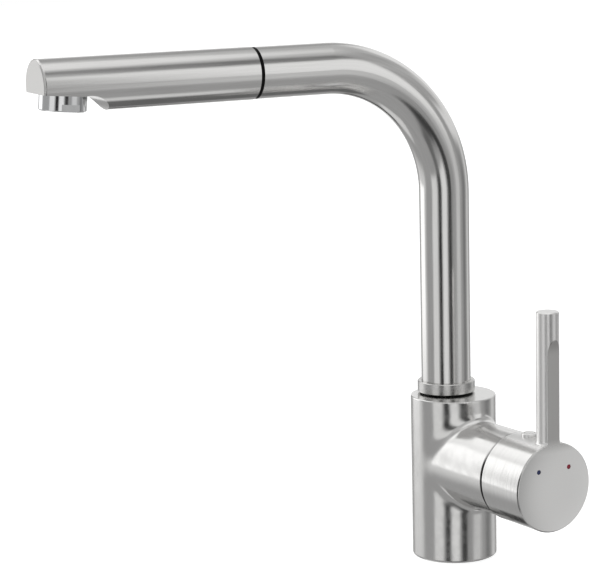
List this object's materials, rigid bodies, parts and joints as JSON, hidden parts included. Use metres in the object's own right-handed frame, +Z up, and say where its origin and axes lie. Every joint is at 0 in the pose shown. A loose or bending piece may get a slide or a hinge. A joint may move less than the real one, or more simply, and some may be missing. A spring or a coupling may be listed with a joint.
{
  "type": "kitchen mixer tap with pull-out spray head",
  "caption": "Single-lever kitchen mixer: upright cylinder with a side lever, L-shaped swivel spout and a pull-out spray head.",
  "frame": {"origin": "centre of the round body's underside, on the deck", "axes": "+Z up from the deck; +X along the side housing towards the lever; the spout arm reaches out along -Y, turned 5.5 degrees from it towards -X"},
  "size_m": [0.1358, 0.2654, 0.2952],
  "materials": {
    "satin_metal": "satin",
    "polished_metal": "polished",
    "brass": "machined",
    "fastener_steel": "plain",
    "seal_rubber": "matt",
    "black_plastic": "matt",
    "grey_plastic": "matt",
    "white_plastic": "matt",
    "ceramic": "lapped",
    "hose_jacket": "braided",
    "blue_enamel": "gloss",
    "red_enamel": "gloss"
  },
  "bodies": {
    "base": {"body": "satin_metal", "dome_cover": "satin_metal", "retaining_nut": "brass", "spout_retaining_screw": "fastener_steel", "base_seal": "seal_rubber", "cartridge_port_seals": "seal_rubber", "cartridge_housing": "grey_plastic", "cartridge_base": "grey_plastic", "hose_guide": "white_plastic", "upper_swivel_bush": "black_plastic", "lower_swivel_bush": "white_plastic", "fixed_ceramic_disc": "ceramic"},
    "spout": {"spout_tube": "satin_metal", "swivel_collar": "satin_metal", "spout_spigot": "brass", "dock_sleeve": "black_plastic", "dock_ring": "black_plastic", "pullout_hose": "hose_jacket"},
    "spray_head": {"spray_head_shell": "satin_metal", "head_waterway": "white_plastic", "hose_ferrule": "fastener_steel", "hose_connector": "brass", "connector_seal": "seal_rubber", "check_valve": "white_plastic", "aerator_housing": "polished_metal", "aerator_insert": "grey_plastic", "aerator_seal": "seal_rubber"},
    "temperature_carrier": {"temperature_carrier": "grey_plastic", "stem_pin": "fastener_steel"},
    "moving_disc": {"moving_ceramic_disc": "ceramic", "disc_driver": "grey_plastic"},
    "lever": {"cartridge_stem": "brass", "lever_handle": "satin_metal", "handle_screw": "fastener_steel", "screw_plug": "satin_metal", "cold_marker": "blue_enamel", "hot_marker": "red_enamel"}
  },
  "joints": [
    {"name": "spout_swivel", "type": "hinge", "parent": "base", "child": "spout", "pos_m": [-0.0065, 0, 0.079], "axis": [0, 0, 1], "range_deg": [-64.5, 75.5]},
    {"name": "head_pullout", "type": "slide", "parent": "spout", "child": "spray_head", "axis": [-0.0958, -0.9954, 0], "range_m": [0, 0.4], "deforming": ["pullout_hose"]},
    {"name": "lever_temperature", "type": "hinge", "parent": "base", "child": "temperature_carrier", "pos_m": [0.04, 0, 0.057], "axis": [1, 0, 0], "range_deg": [-45, 45]},
    {"name": "lever_flow", "type": "hinge", "parent": "temperature_carrier", "child": "lever", "pos_m": [0.04, 0, 0.057], "axis": [0, 1, 0], "range_deg": [0, 22]},
    {"name": "disc_slide", "type": "slide", "parent": "temperature_carrier", "child": "moving_disc", "axis": [0, 0, 1], "range_m": [0, 0.003]}
  ],
  "couplings": [
    {"joint": "disc_slide", "follows": "lever_flow", "m_per_rad": 0.0077}
  ]
}
